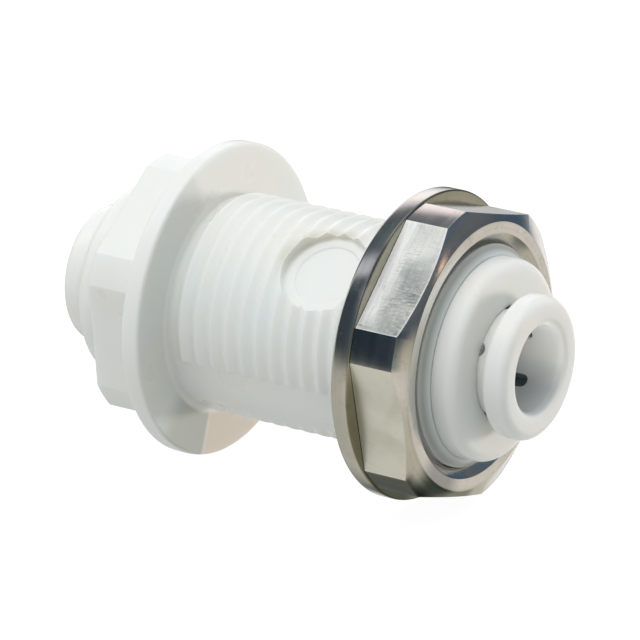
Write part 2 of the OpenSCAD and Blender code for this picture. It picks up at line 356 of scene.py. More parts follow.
def make_body():
    hexagon = (HEX_ACROSS, HEX_CORNER_R, HEX_TURN)
    angles = columns(320, hex_edges(*hexagon), 0.5)
    count = len(angles)
    hex_r = hex_radius(angles, *hexagon)
    # x, radius, fillet radius, fillet steps
    outside = [
        (SHOULDER_X, 6.3, 0, 0), (SHOULDER_X, SHOULDER_R, 0.12, 3),
        (HEX_X, SHOULDER_R, 0.12, 3), (HEX_X, hex_r, 0.22, 5),
        (FLANGE_X, hex_r, 0.35, 5), (FLANGE_X, FLANGE_R, 0.32, 6),
        (0, FLANGE_R, 0.32, 6), (0, ROOT_R, 0.15, 4),
        (SHANK_X - 0.6, CREST_R, 0.12, 3), (SHANK_X, CREST_R - 0.63, 0.08, 3),
        (SHANK_X, 6.32, 0, 0),
    ]
    inside = from_face(PORT, RIGHT_FACE, 1) + from_face(PORT, LEFT_FACE, -1)[::-1]
    rows = fillet_profile(outside + inside, count)

    # the thread is interrupted by two smooth strips, square to the pad, where the mould parts
    off = np.abs((angles - (PAD_TURN + 90) + 90) % 180 - 90)
    full_thread = smoothstep((off - STRIP_HALF + 2.5) / 4.0)
    refined = []
    for i, a in enumerate(rows):
        b = rows[(i + 1) % len(rows)]
        refined.append(a)
        longest = np.abs(b - a).max()
        if a[0, 1] < CREST_R and abs(a[0, 0] - b[0, 0]) > 15:
            # the only step this long is the shank, which carries the thread
            for x in between(a[0, 0], b[0, 0], int((b[0, 0] - a[0, 0]) / THREAD_STEP)):
                refined.append(row(x, shank_radius(x, angles, full_thread), count))
        elif longest > 1.2:
            refined += between(a, b, int(longest / 1.0) + 1)
    body = revolved("body_moulding", np.array(refined), angles)
    cut(body, [make_pad_cutter()], "EXACT")
    smooth_by_angle(body, 32)
    weigh_normals(body)
    return body


# ---------------------------------------------------------------- caps, collets
def make_cap(name, face, side):
    cap = turned(name, from_face(CAP, face, side), 192)
    smooth_by_angle(cap, 34)
    return cap


def slot_cutter(name, place):
    """A slot cutter along X, its outer end rounded in plan."""
    half = SLOT_W / 2
    round_x = SLOT_OUT - half
    outline = [(-SLOT_DEPTH, -half), (round_x, -half)]
    for degrees in range(15, 180, 15):
        a = math.radians(degrees)
        outline.append((round_x + half * math.sin(a), -half * math.cos(a)))
    outline += [(round_x, half), (-SLOT_DEPTH, half)]
    bm = bmesh.new()
    low, high = ([bm.verts.new((x, y, z)) for x, y in outline] for z in SLOT_R)
    bm.faces.new(low[::-1])
    bm.faces.new(high)
    for i in range(len(outline)):
        j = (i + 1) % len(outline)
        bm.faces.new((low[i], low[j], high[j], high[i]))
    bm.transform(Matrix.Scale(MM, 4) @ place)
    # a mirrored cutter comes out inside out
    bmesh.ops.recalc_face_normals(bm, faces=bm.faces)
    return bmesh_object(name, bm)


def make_collet(name, face, side):
    collet = turned(name, from_face(COLLET, face, side), 192)
    cutters = []
    for i, angle in enumerate(SLOT_ANGLES):
        # both collets are the same moulding, so the left one's slots run the other way round
        turn = math.radians(angle if side > 0 else 180 - angle)
        place = Matrix.Translation((face, 0, 0)) @ Matrix.Rotation(turn, 4, "X")
        if side < 0:
            place = place @ Matrix.Scale(-1, 4, (1, 0, 0))
        cutters.append(slot_cutter("slot_%d" % i, place))
    cut(collet, cutters, "MANIFOLD")
    smooth_by_angle(collet, 34)
    weigh_normals(collet)
    return collet


# ---------------------------------------------------------------- lock nut and washer
def mark_milled_flats(nut):
    """Gives the hexagon's flats the second material."""
    half = flat_half_angle(NUT_ACROSS, NUT_CORNER_R)
    for face in nut.data.polygons:
        centre = face.center / MM
        angle = math.degrees(math.atan2(-centre.y, centre.z))
        off = (angle - NUT_TURN) % 60 - 30
        if abs(face.normal.x) < 0.5 and centre.yz.length > 10.2 and abs(off) < half:
            face.material_index = 1


def make_nut():
    hexagon = (NUT_ACROSS, NUT_CORNER_R, NUT_TURN)
    angles = columns(300, hex_edges(*hexagon), 0.3)
    count = len(angles)
    hex_r = hex_radius(angles, *hexagon)
    slope = (NUT_CORNER_R - NUT_FACE_R) / NUT_CHAMFER
    chamfer_x = NUT_END - (hex_r - NUT_FACE_R) / slope
    # x, radius, fillet radius, fillet steps; the last two are the ends of the bore
    rows = fillet_profile([
        (NUT_X, 8.9, 0.05, 2), (NUT_X, hex_r, 0.05, 3), (chamfer_x, hex_r, 0.05, 3),
        (NUT_END, NUT_FACE_R, 0.06, 3), (NUT_END, 9.12, 0.08, 3),
        (NUT_END - NUT_LEAD_RIGHT, NUT_BORE_R, 0, 0), (NUT_X + NUT_LEAD_LEFT, NUT_BORE_R, 0, 0),
    ], count)
    start, end = rows[-2][0, 0], rows[-1][0, 0]
    bore = []
    for x in between(start, end, int(abs(end - start) / THREAD_STEP)):
        inset = min(x - NUT_X - NUT_LEAD_LEFT, NUT_END - NUT_LEAD_RIGHT - x)
        fade = min(max(inset / 0.35, 0), 1)
        depth = fade * (CREST_R - ROOT_R) * 0.86 * (1 - thread(x, angles))
        bore.append(row(x, NUT_BORE_R - depth, count))
    nut = revolved("nut_turned", np.array([*rows[:-1], *bore, rows[-1]]), angles)
    smooth_by_angle(nut, 12)
    mark_milled_flats(nut)
    return nut


def make_washer():
    left, right = NUT_X - 0.02 - WASHER_T, NUT_X - 0.008
    washer = turned("washer_turned", [
        (left, WASHER_HOLE_R, 0.08, 2), (left, WASHER_R, 0.3, 6),
        (right, WASHER_R, 0.14, 4), (right, WASHER_HOLE_R, 0.08, 2)], 256)
    smooth_by_angle(washer, 34)
    return washer


body = make_body()
right_cap = make_cap("right_cap_moulding", RIGHT_FACE, 1)
left_cap = make_cap("left_cap_moulding", LEFT_FACE, -1)
right_collet = make_collet("right_collet_moulding", RIGHT_FACE, 1)
left_collet = make_collet("left_collet_moulding", LEFT_FACE, -1)
nut = make_nut()
washer = make_washer()

# object, the frame body it rides, the CAD piece it replaces, its material slot
for o, rides, piece, slot in (
        (body, "body", "bulkhead_body", "body_plastic"),
        (right_cap, "body", "right_cap", "cap_plastic"),
        (left_cap, "body", "left_cap", "cap_plastic"),
        (right_collet, "right_collet", "right_collet", "collet_plastic"),
        (left_collet, "left_collet", "left_collet", "collet_plastic"),
        (nut, "nut", "lock_nut", "nut_metal"),
        (washer, "washer", "nut_washer", "washer_metal")):
    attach(o, rides)
    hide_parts(piece)


# ---------------------------------------------------------------- node graphs
class Value:
    """A node's output; arithmetic on it adds math nodes."""

    def __init__(self, graph, socket):
        self.graph, self.socket = graph, socket

    def __add__(self, other):
        return self.graph.math("ADD", self, other)

    def __sub__(self, other):
        return self.graph.math("SUBTRACT", self, other)

    def __rsub__(self, other):
        return self.graph.math("SUBTRACT", other, self)

    def __mul__(self, other):
        return self.graph.math("MULTIPLY", self, other)

    def __abs__(self):
        return self.graph.math("ABSOLUTE", self)


class Graph:
    """Short forms for building a node tree."""

    def __init__(self, tree):
        self.tree = tree
        tree.nodes.clear()

    def add(self, kind, inputs=None, **settings):
        node = self.tree.nodes.new(kind)
        for key, value in settings.items():
            setattr(node, key, value)
        for key, value in (inputs or {}).items():
            if isinstance(value, Value):
                self.tree.links.new(value.socket, node.inputs[key])
            else:
                node.inputs[key].default_value = value
        return node

    def node(self, kind, inputs=None, output=0, **settings):
        """Adds a node and gives one of its outputs."""
        return Value(self, self.add(kind, inputs, **settings).outputs[output])

    def math(self, operation, a, b=0.0):
        return self.node("ShaderNodeMath", {0: a, 1: b, 2: 0.0}, operation=operation)

    def vector(self, operation, a, b, output=0):
        return self.node("ShaderNodeVectorMath", {0: a, 1: b}, output, operation=operation)

    def dot(self, a, b):
        return self.vector("DOT_PRODUCT", a, b, "Value")

    def combine(self, x, y, z):
        return self.node("ShaderNodeCombineXYZ", {0: x, 1: y, 2: z})

    def split(self, vector):
        node = self.add("ShaderNodeSeparateXYZ", {0: vector})
        return [Value(self, socket) for socket in node.outputs]

    def noise(self, vector, scale, detail=2.0, rough=0.5, warp=0.0):
        return self.node("ShaderNodeTexNoise", {
            "Vector": vector, "Scale": scale, "Detail": detail, "Roughness": rough,
            "Distortion": warp})

    def fit(self, value, start, end, to=(0.0, 1.0), interpolation="LINEAR"):
        """Maps start..end to the range `to`, clamped."""
        return self.node("ShaderNodeMapRange", {
            "Value": value, "From Min": start, "From Max": end,
            "To Min": to[0], "To Max": to[1]}, interpolation_type=interpolation)

    def ease(self, value, start, end, to=(0.0, 1.0)):
        """fit with soft ends."""
        return self.fit(value, start, end, to, "SMOOTHSTEP")

    def band(self, value, rise, fall):
        """A mask that eases in over `rise` and out over `fall`, which is (zero, one)."""
        return self.ease(value, *rise) * self.ease(value, *fall)

    def mix(self, factor, a, b, blend="MIX"):
        a, b = (c if isinstance(c, Value) else (*c, 1) for c in (a, b))
        return self.node("ShaderNodeMix", {0: factor, 6: a, 7: b}, output=2,
                         data_type="RGBA", blend_type=blend)

    def tint(self, mask, colour, by):
        """Multiplies the colour where the mask is 1."""
        return self.mix(mask, colour, by, "MULTIPLY")

    def ramp(self, factor, stops):
        node = self.add("ShaderNodeValToRGB", {0: factor})
        elements = node.color_ramp.elements
        for element, (position, colour) in ((elements[0], stops[0]), (elements[1], stops[-1])):
            element.position, element.color = position, (*colour, 1)
        for position, colour in stops[1:-1]:
            elements.new(position).color = (*colour, 1)
        return Value(self, node.outputs[0])

    def bump(self, height, depth_mm, strength):
        return self.node("ShaderNodeBump", {
            "Height": height, "Distance": depth_mm * MM, "Strength": strength})


class Surface(Graph):
    """A new material, with its coordinates in millimetres made when first asked for."""

    def __init__(self, name):
        self.material = bpy.data.materials.new(name)
        self.material.use_nodes = True
        super().__init__(self.material.node_tree)

    @cached_property
    def metres(self):
        return self.node("ShaderNodeTexCoord", output="Object")

    @cached_property
    def point(self):
        return self.vector("MULTIPLY", self.metres, (1000, 1000, 1000))

    @cached_property
    def xyz(self):
        return self.split(self.point)

    @cached_property
    def radius(self):
        _, y, z = self.xyz
        return self.math("SQRT", y * y + z * z)

    @cached_property
    def angle(self):
        _, y, z = self.xyz
        return self.math("ARCTAN2", y, z)

    @cached_property
    def degrees(self):
        """Angle round the axis from +Z towards -Y, from -180 to 180."""
        return self.angle * (-180 / math.pi)

    @property
    def x(self):
        return self.xyz[0]

    def stretched(self, x, y, z):
        """The point with each coordinate scaled."""
        return self.combine(*(value * k for value, k in zip(self.xyz, (x, y, z))))

    def around(self, x, radius, angle):
        """Coordinates along, out from and round the axis, each scaled."""
        return self.combine(self.x * x, self.radius * radius, self.angle * angle)

    def shifted(self, offset):
        """The point moved, so a noise shows another part of its pattern."""
        return self.vector("ADD", self.point, offset)

    def finish(self, **inputs):
        """Ends the material in a Principled shader; an underscore stands for a space."""
        shader = self.node("ShaderNodeBsdfPrincipled",
                           {key.replace("_", " "): value for key, value in inputs.items()})
        self.add("ShaderNodeOutputMaterial", {0: shader})
        return self.material


def shade(colour, factors):
    return tuple(c * k for c, k in zip(colour, factors))


def radial(degrees):
    """Unit vector out from the axis at this angle."""
    a = math.radians(degrees)
    return (0.0, -math.sin(a), math.cos(a))


def past_face(s):
    """Distance out past the nearer end face of the fitting, negative inside."""
    return abs(s.x - MID_X) - HALF_LENGTH


def height(s):
    return s.radius * s.math("COSINE", s.angle)


def hairlines(s, vector, scale, width, cover, warp):
    """Thin scratches: the level line of a warped noise, kept only in patches."""
    level = s.noise(vector, scale=scale, detail=1.0, rough=0.5, warp=warp)
    line = s.fit(abs(level - 0.5), 0.0, width, to=(1.0, 0.0))
    patch = s.fit(s.noise(vector, scale=scale * 1.7 + 0.31), 1 - cover, 1 - cover + 0.06)
    return line * patch


def edge_wear_highlight_mask(s, radius_mm, start=0.004, full=0.06):
    """A mask of the edges, from how far a bevelled normal leans from the true one."""
    bevel = s.node("ShaderNodeBevel", {"Radius": radius_mm * MM}, samples=4)
    normal = s.node("ShaderNodeNewGeometry", output="Normal")
    return s.fit(1.0 - s.dot(bevel, normal), start, full)


# ---------------------------------------------------------------- materials
def acetal(name, base, rough=(0.26, 0.4), recess_shade=0.25, local=None, painted_glow=None):
    """Moulded white acetal: milky, with faint orange peel, flow mottling and a little painted
    shade in its recesses.
    local adds the part's own tones and its painted shade and light; the last argument gives the
    strength of a painted glow, an emission that stands in for light from within."""
    s = Surface(name)
    cloud = s.noise(s.point, scale=0.16, detail=3.0, rough=0.55)
    mottle = s.noise(s.point, scale=1.1, detail=4.0, rough=0.6)
    flow = s.noise(s.around(x=0.35, radius=2.2, angle=1.6), scale=1.3, detail=3.0, rough=0.6)
    warm = shade(base, (1.0, 0.985, 0.955))
    cool = shade(base, (0.965, 0.995, 0.995))
    colour = s.mix(s.fit(cloud, 0.35, 0.65), warm, cool)
    colour = s.mix(s.fit(flow, 0.3, 0.75, to=(0.0, 0.12)), colour, shade(base, (0.9,) * 3))
    # painted shade: darker where the surface is shut in, made patchy by a noise
    open_air = s.node("ShaderNodeAmbientOcclusion", {"Distance": 1.3 * MM}, "AO", samples=6)
    recess_darkening = s.ease(open_air, 0.2, 0.75, to=(1.0, 0.0)) * s.fit(mottle, 0.3, 0.7, to=(0.55, 1.0))
    colour = s.mix(recess_darkening * recess_shade, colour, (0.52, 0.54, 0.49))
    if local:
        colour = local(s, colour)
    peel = s.noise(s.point, scale=7.0) * 0.35 + mottle * 0.3
    return s.finish(
        Base_Color=colour, Roughness=s.fit(cloud, 0.3, 0.7, to=rough), IOR=1.48,
        Subsurface_Weight=0.45, Subsurface_Radius=(1.0, 0.95, 0.88), Subsurface_Scale=0.0011,
        Normal=s.bump(peel, depth_mm=0.003, strength=0.5),
        Emission_Color=(1.0, 0.985, 0.92, 1.0), Emission_Strength=painted_glow(s) if painted_glow else 0.0)


def turned_nickel(name, bright, dull, rough=(0.1, 0.2), local=None):
    """Nickel plate over turned brass: fine lathe rings, hairline scratches, stains, edges
    rubbed brighter."""
    s = Surface(name)
    rings = s.noise(s.around(x=9.0, radius=9.0, angle=1.2), scale=1.0, detail=4.0, rough=0.65)
    broad = s.noise(s.around(x=1.5, radius=1.5, angle=2.5), scale=1.0)
    cloud = s.noise(s.point, scale=0.35, detail=4.0, rough=0.6, warp=0.5)
    stain = s.fit(s.noise(s.point, scale=1.4, detail=5.0, rough=0.7, warp=0.3), 0.56, 0.72)
    colour = s.mix(s.fit(cloud, 0.35, 0.65), bright, dull)
    colour = s.mix(s.fit(rings, 0.35, 0.7, to=(0.0, 0.3)), colour, shade(dull, (0.8,) * 3))
    colour = s.mix(stain * 0.35, colour, shade(dull, (0.62, 0.6, 0.52)))
    scratch = s.math(
        "MAXIMUM", hairlines(s, s.point, scale=0.75, width=0.008, cover=0.36, warp=1.2),
        hairlines(s, s.shifted((31, 7, 3)), scale=1.6, width=0.01, cover=0.32, warp=0.9))
    patchy = s.fit(s.noise(s.point, scale=2.3, detail=3.0), 0.35, 0.6, to=(0.35, 1.0))
    edge = edge_wear_highlight_mask(s, radius_mm=0.16) * patchy
    colour = s.mix(edge * 0.7, colour, (0.93, 0.89, 0.82))
    if local:
        colour = local(s, colour)
    wear = scratch * 0.08 + (stain * 0.1 + edge * 0.12)
    relief = rings * 0.8 + (broad * 0.5 + scratch * -0.12)
    return s.finish(Base_Color=colour, Metallic=1.0,
                    Roughness=s.fit(broad, 0.3, 0.7, to=rough) + wear,
                    Normal=s.bump(relief, depth_mm=0.006, strength=0.6))


def milled_nickel(name):
    """A milled flat under the plate: bright cutter streaks along its length, crossed by short
    marks and grey smudges.
    Painted light: one flat is painted lit, with a painted highlight band, glint marks and edges
    and a painted dusky patch; the flat facing well down is in painted shade."""
    s = Surface(name)
    # painted light: the flat that faces -Y and up is painted lit, brighter, streakier and less
    # metallic than the rest; the others keep a small share of it
    UNLIT_FLATS_SHARE = 0.06
    FLAT_BAND = (9.9, 10.3)             # distance out from the axis that tells a flat
    FRONT = NUT_TURN + 30               # angle of the middle of the flat painted lit
    lit_flat = s.fit(s.dot(s.point, radial(FRONT)), *FLAT_BAND, to=(UNLIT_FLATS_SHARE, 1.0))
    down = s.dot(s.point, radial(FRONT + 90))       # down the flat painted lit, 0 at its middle

    streak = s.noise(s.stretched(x=9.0, y=0.35, z=0.35), scale=1.0, detail=5.0, rough=0.75,
                     warp=0.15)
    cross = s.noise(s.stretched(x=1.5, y=7.0, z=7.0), scale=1.0, detail=4.0, rough=0.7, warp=0.5)
    patches = s.fit(s.noise(s.point, scale=0.45, warp=0.3), 0.36, 0.56)
    marks = s.fit(cross, 0.5, 0.66) * (patches * s.fit(down, -4.0, 1.5, to=(0.15, 1.0)))
    lower = lit_flat * lit_flat * s.ease(down, -1.5, 3.5)
    smudge = s.fit(s.noise(s.shifted((4.0, 1.0, 0)), scale=0.38, detail=4.0, rough=0.6,
                           warp=0.6), 0.46, 0.64)
    painted_glints = s.fit(cross, 0.46, 0.36) * (lit_flat * s.fit(down, -4.0, 1.5, to=(0.2, 0.9)))

    colour = s.mix(s.fit(streak, 0.6, 0.38) * (lit_flat * 0.75),
                   (0.99, 0.975, 0.93), (0.7, 0.71, 0.7))
    colour = s.mix(smudge * (lit_flat * 0.5), colour, (0.5, 0.56, 0.57))
    colour = s.mix(marks * (lit_flat * 0.9), colour, (0.26, 0.27, 0.26))
    colour = s.tint(lower * 0.9, colour, by=(0.6, 0.62, 0.62))
    tone = s.noise(s.shifted((9, 2, 5)), scale=0.2, warp=0.8)
    colour = s.mix(s.fit(tone, 0.4, 0.62), colour, s.tint(1.0, colour, by=(0.84, 0.85, 0.83)))
    # the flat that faces -Y and well down is in shade
    under = s.fit(s.dot(s.point, radial(NUT_TURN + 150)), *FLAT_BAND)
    colour = s.tint(under, colour, by=(0.25, 0.27, 0.25))

    # painted highlight along the edges, strongest on the flat painted lit, where the edges are
    # also paler and less metallic
    edge = edge_wear_highlight_mask(s, radius_mm=0.27, start=0.002, full=0.03)
    edge = edge * s.fit(lit_flat, UNLIT_FLATS_SHARE, 1.0, to=(0.3, 1.0))
    # painted highlight: a bright streaky band along the left of the flat painted lit; painted
    # shade: a dusky patch at its right
    bright = s.ease(s.x, 19.7, 18.7) * s.ease(down, 4.6, 3.0) * s.fit(lit_flat, UNLIT_FLATS_SHARE, 1.0)
    broken = s.noise(s.stretched(x=5.0, y=0.4, z=0.4), scale=1.0, detail=4.0, rough=0.7)
    bright = bright * s.fit(broken, 0.34, 0.56, to=(0.3, 1.0))
    colour = s.mix(bright * 0.97, colour, (1.0, 1.0, 0.985))
    painted_dusk = s.ease(s.x, 19.3, 20.2) * s.ease(down, -2.2, -0.2)
    painted_dusk = painted_dusk * (s.ease(down, 2.6, 0.8) * s.fit(lit_flat, UNLIT_FLATS_SHARE, 1.0))
    colour = s.tint(painted_dusk, colour, by=(0.62, 0.64, 0.65))
    # painted glint marks on the flat painted lit
    colour = s.mix(painted_glints * 0.4, colour, (1.0, 0.99, 0.95))
    colour = s.mix(edge, colour, (1.0, 0.99, 0.96))
    return s.finish(
        Base_Color=colour,
        Metallic=s.fit(lit_flat, UNLIT_FLATS_SHARE, 1.0, to=(0.95, 0.3)) * (1.0 - edge * 0.6),
        Roughness=s.fit(streak, 0.3, 0.7, to=(0.3, 0.42)) + marks * 0.15,
        Normal=s.bump((streak * 0.7 + cross * 0.8) * lit_flat, depth_mm=0.02, strength=0.7))


def stamped_steel(name):
    s = Surface(name)
    grain = s.noise(s.around(x=3.0, radius=3.0, angle=60.0), scale=1.0, detail=4.0, rough=0.7)
    cloud = s.noise(s.point, scale=1.5, detail=3.0)
    colour = s.mix(s.fit(grain, 0.35, 0.65), (0.5, 0.51, 0.52), (0.72, 0.73, 0.74))
    colour = s.mix(s.fit(cloud, 0.5, 0.75, to=(0.0, 0.35)), colour, (0.42, 0.38, 0.33))
    return s.finish(Base_Color=colour, Metallic=1.0,
                    Roughness=s.fit(grain, 0.3, 0.7, to=(0.22, 0.4)),
                    Normal=s.bump(grain, depth_mm=0.006, strength=0.6))


def nitrile(name):
    s = Surface(name)
    fine = s.noise(s.point, scale=9.0, detail=3.0, rough=0.6)
    bloom = s.noise(s.point, scale=1.3, detail=4.0, rough=0.65, warp=0.4)
    colour = s.mix(s.fit(bloom, 0.45, 0.75, to=(0.0, 0.5)),
                   (0.016, 0.016, 0.018), (0.06, 0.06, 0.062))
    return s.finish(Base_Color=colour, Roughness=s.fit(bloom, 0.3, 0.7, to=(0.38, 0.62)),
                    IOR=1.52, Normal=s.bump(fine, depth_mm=0.01, strength=0.5))


# ---------------------------------------------------------------- each part's own tones and painted shade and light
def body_local(s, colour):
    """Painted shade and light: the shank's end is painted in the nut's shade; the flange's right
    face has painted shade and a warm painted tone in sectors; a tan crescent of painted shade lies
    round the pad's rim.
    """
    # painted shade on the shank's end, as in the shadow of the nut
    end = s.ease(s.x, 21.7, 22.3) * s.fit(s.radius, 6.8, 7.2)
    dull = s.mix(s.fit(s.radius, 7.7, 8.1), (0.74, 0.78, 0.8), (0.45, 0.47, 0.46))
    colour = s.tint(end, colour, by=dull)

    # painted shade and light on the flange's right face: a sector in the shank's shadow, darker
    # low down, and a warm painted tone of light beyond it
    phi = s.math("FLOORED_MODULO", s.degrees, 360.0)
    flange = s.fit(s.x, -0.2, -0.05) * s.fit(s.radius, 8.5, 8.8)
    near = s.band(phi, rise=(19, 25), fall=(163, 160))
    colour = s.tint(flange * near, colour, by=(0.89, 0.895, 0.885))
    low = s.band(phi, rise=(124, 140), fall=(163, 160))
    colour = s.tint(flange * low, colour, by=(0.72, 0.73, 0.7))
    warm = s.band(phi, rise=(161, 164), fall=(235, 200))
    colour = s.tint(flange * warm, colour, by=(0.9, 0.81, 0.73))

    # painted shade: a tan crescent round the pad's upper side, where the wall is in shade; u along
    # the axis, v across it, from the pad's centre
    across = s.dot(s.point, radial(PAD_TURN - 90))
    outward = s.dot(s.point, radial(PAD_TURN))
    u, v = s.x - PAD_X, across + PAD_DROP
    distance = s.math("SQRT", u * u + v * v)
    ring = s.ease(distance, PAD_R - 0.35, PAD_R)
    ring = ring * s.ease(distance, PAD_R + 0.1, PAD_R + 1.0, to=(1, 0))
    side = s.ease(v * 0.8 + u * -0.6, 0.8, 3.0)
    return s.tint(ring * side * s.fit(outward, 3, 5), colour, by=(0.88, 0.86, 0.79))


def cap_local(s, colour):
    """Painted shade inside the cap, past the mouth that the collet's neck slides in."""
    inside = s.fit(past_face(s), -0.35, -0.1, to=(1, 0)) * s.fit(s.radius, 5.5, 5.9, to=(1, 0))
    return s.tint(inside, colour, by=(0.16, 0.22, 0.29))


def collet_local(s, colour):
    """Painted shade on the neck's wall; in the bore, painted shade low down and deep in, and
    painted light at its top.
    """
    out = past_face(s)
    bore = s.ease(s.radius, 3.3, 3.6, to=(1, 0))
    z = height(s)
    wall = s.fit(s.radius, 3.35, 3.45) * s.fit(s.radius, 4.22, 4.15) * s.fit(out, 1.2, 0.9)
    colour = s.tint(wall, colour, by=(0.33, 0.36, 0.38))
    colour = s.tint(bore * s.ease(z, 0.0, -2.8), colour, by=(0.6, 0.635, 0.67))
    colour = s.mix(bore * s.ease(z, -1.2, 0.8), colour, (0.985, 0.98, 0.955))
    return s.tint(bore * s.fit(out, 0.0, -3.5), colour, by=(0.93, 0.95, 0.97))


def collet_painted_glow(s):
    """Painted light: an emission in the collet's bore, strongest at its top and towards its mouth,
    standing in for daylight that comes in by the thin milky wall.
    """
    out = past_face(s)
    upper = s.fit(height(s), -2.4, 2.2)
    bore = s.ease(s.radius, 3.3, 3.75, to=(1, 0))
    return bore * s.fit(out, -3.5, 2.0, to=(0.25, 1.0)) * (upper * 0.17)


def nut_local(s, colour):
    """Painted reflections and shade: one turned corner painted almost black, a stretch of another
    corner painted navy, the lower part of the end chamfer painted dusky, and the end ring painted
    darker in two sectors.
    """
    phi = s.degrees
    before_chamfer = (NUT_END - 0.3, NUT_END - 0.6)
    # painted dark reflection: one turned corner painted almost black
    corner = s.band(phi, rise=(123, 128), fall=(151, 139)) * s.fit(s.x, *before_chamfer)
    corner = corner * s.fit(s.radius, 10.6, 10.9)
    colour = s.tint(corner, colour, by=(0.17, 0.19, 0.175))
    # painted dark reflection: a stretch of another corner painted navy
    navy = s.band(phi, rise=(62, 65), fall=(80, 77)) * s.fit(s.radius, 10.6, 10.9)
    colour = s.tint(navy * s.fit(s.x, *before_chamfer), colour, by=(0.5, 0.56, 0.62))

    # painted shade on the lower part of the end chamfer
    chamfer = s.fit(s.radius, 10.02, 10.12) * s.fit(s.x, NUT_END - 0.75, NUT_END - 0.6)
    painted_dusk = s.band(phi, rise=(128, 140), fall=(178, 170))
    colour = s.tint(chamfer * painted_dusk, colour, by=(0.42, 0.45, 0.43))

    # painted shade on the end ring: darker low down and in a sector facing -Y
    end_face = s.fit(s.x, NUT_END - 0.12, NUT_END - 0.04)
    low = s.band(phi, rise=(124, 138), fall=(165, 150))
    colour = s.tint(end_face * low, colour, by=(0.54, 0.56, 0.58))
    near = s.band(phi, rise=(48, 64), fall=(116, 104))
    return s.tint(end_face * near, colour, by=(0.86, 0.87, 0.85))


def washer_local(s, colour):
    """The washer's ledge against the nut is tinted olive, with painted shade over a sector of it;
    its rim has painted darker reflections near the top, and painted shade covers its lower side.
    """
    phi = s.degrees
    ledge = s.fit(s.x, NUT_X - 0.16, NUT_X - 0.06)
    colour = s.tint(ledge, colour, by=(0.6, 0.59, 0.5))
    # painted shade on the ledge in a sector facing -Y and down
    near = s.band(phi, rise=(80, 96), fall=(150, 130))
    colour = s.tint(ledge * near, colour, by=(0.55, 0.56, 0.5))
    # painted darker reflections on two overlapping stretches of the outer edge near the top
    for rise, fall, by in (((4, 14), (50, 38), (0.75, 0.77, 0.8)),
                           ((29, 36), (54, 49), (0.52, 0.54, 0.6))):
        stretch = s.band(phi, rise=rise, fall=fall)
        colour = s.tint(stretch * s.fit(s.radius, 11.3, 11.45), colour, by=by)
    # painted shade over the washer's lower side
    low = s.band(phi, rise=(133, 141), fall=(175, 160))
    return s.tint(low, colour, by=(0.26, 0.3, 0.28))


body_white = acetal("white_acetal_body", (0.86, 0.872, 0.858), local=body_local)
cap_white = acetal("white_acetal_cap", (0.872, 0.878, 0.864), rough=(0.27, 0.33), recess_shade=0.2,
                   local=cap_local)
collet_white = acetal("white_acetal_collet", (0.885, 0.888, 0.878), rough=(0.2, 0.26),
                      recess_shade=0.2, local=collet_local, painted_glow=collet_painted_glow)
ring_white = acetal("white_acetal_ring", (0.8, 0.81, 0.78), rough=(0.48, 0.62), recess_shade=0.3)
nut_nickel = turned_nickel("nickel_turned", bright=(0.8, 0.775, 0.745),
                           dull=(0.74, 0.715, 0.67), local=nut_local)
washer_nickel = turned_nickel("nickel_washer", bright=(0.74, 0.725, 0.69),
                              dull=(0.69, 0.67, 0.62), rough=(0.12, 0.22), local=washer_local)
flat_nickel = milled_nickel("nickel_milled")
steel = stamped_steel("stamped_stainless")
rubber = nitrile("black_nitrile")

for o, material in ((body, body_white), (right_cap, cap_white), (left_cap, cap_white),
                    (right_collet, collet_white), (left_collet, collet_white),
                    (washer, washer_nickel)):
    o.data.materials.clear()
    o.data.materials.append(material)

# clearing the materials also clears which faces are the nut's flats
flat_faces = [face.material_index for face in nut.data.polygons]
nut.data.materials.clear()
nut.data.materials.append(nut_nickel)
nut.data.materials.append(flat_nickel)
nut.data.polygons.foreach_set("material_index", flat_faces)

for name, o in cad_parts.items():
    if not o.hide_render:
        material = rubber if "o_ring" in name else steel if "teeth" in name else ring_white
        o.data.materials.clear()
        o.data.materials.append(material)


# ---------------------------------------------------------------- camera
def make_camera():
    """A long lens to the right, in front (-Y) and above; the axes are the camera's own."""
    right = Vector((0.83608958, 0.54859294, 0.0))
    up = Vector((-0.18864195, 0.28750201, 0.93901907))
    backward = Vector((0.51513923, -0.78510406, 0.34386507))
    place = Vector((0.20640253, -0.30212981, 0.13232626))
    data = bpy.data.cameras.new("camera")
    camera = link_object("camera", data)
    axes = Matrix((right, up, backward)).transposed().to_4x4()
    camera.matrix_world = Matrix.Translation(place) @ axes
    data.sensor_width = 36
    data.lens = 291.547
    data.clip_start = 0.01
    data.clip_end = 20
    bpy.context.scene.camera = camera


# ---------------------------------------------------------------- world
# What metal mirrors towards -X: angle round X from +Z towards -Y, colour
MIRROR_LEFT = [
    (-180, (0.52, 0.51, 0.45)), (-168, (0.42, 0.42, 0.38)), (-156, (0.26, 0.27, 0.25)),
    (-144, (0.3, 0.31, 0.29)), (-130, (1.0, 1.0, 0.98)), (-114, (0.3, 0.32, 0.32)),
    (-106, (0.09, 0.11, 0.1)), (-97, (0.08, 0.1, 0.11)), (-88, (0.6, 0.6, 0.63)),
    (-76, (1.15, 1.13, 1.13)), (-58, (1.35, 1.28, 1.28)), (-47, (1.15, 1.05, 1.07)),
    (-38, (0.22, 0.22, 0.24)), (-24, (0.09, 0.12, 0.135)), (-4, (0.12, 0.16, 0.175)),
    (8, (0.35, 0.36, 0.37)), (15, (1.35, 1.35, 1.3)), (25, (1.35, 1.35, 1.3)),
    (31, (0.1, 0.13, 0.15)), (37, (0.035, 0.055, 0.07)), (84, (0.03, 0.045, 0.06)),
    (91, (0.14, 0.15, 0.14)), (98, (0.46, 0.45, 0.4)), (114, (0.54, 0.53, 0.46)),
    (140, (0.5, 0.5, 0.43)), (180, (0.53, 0.52, 0.46)),
]
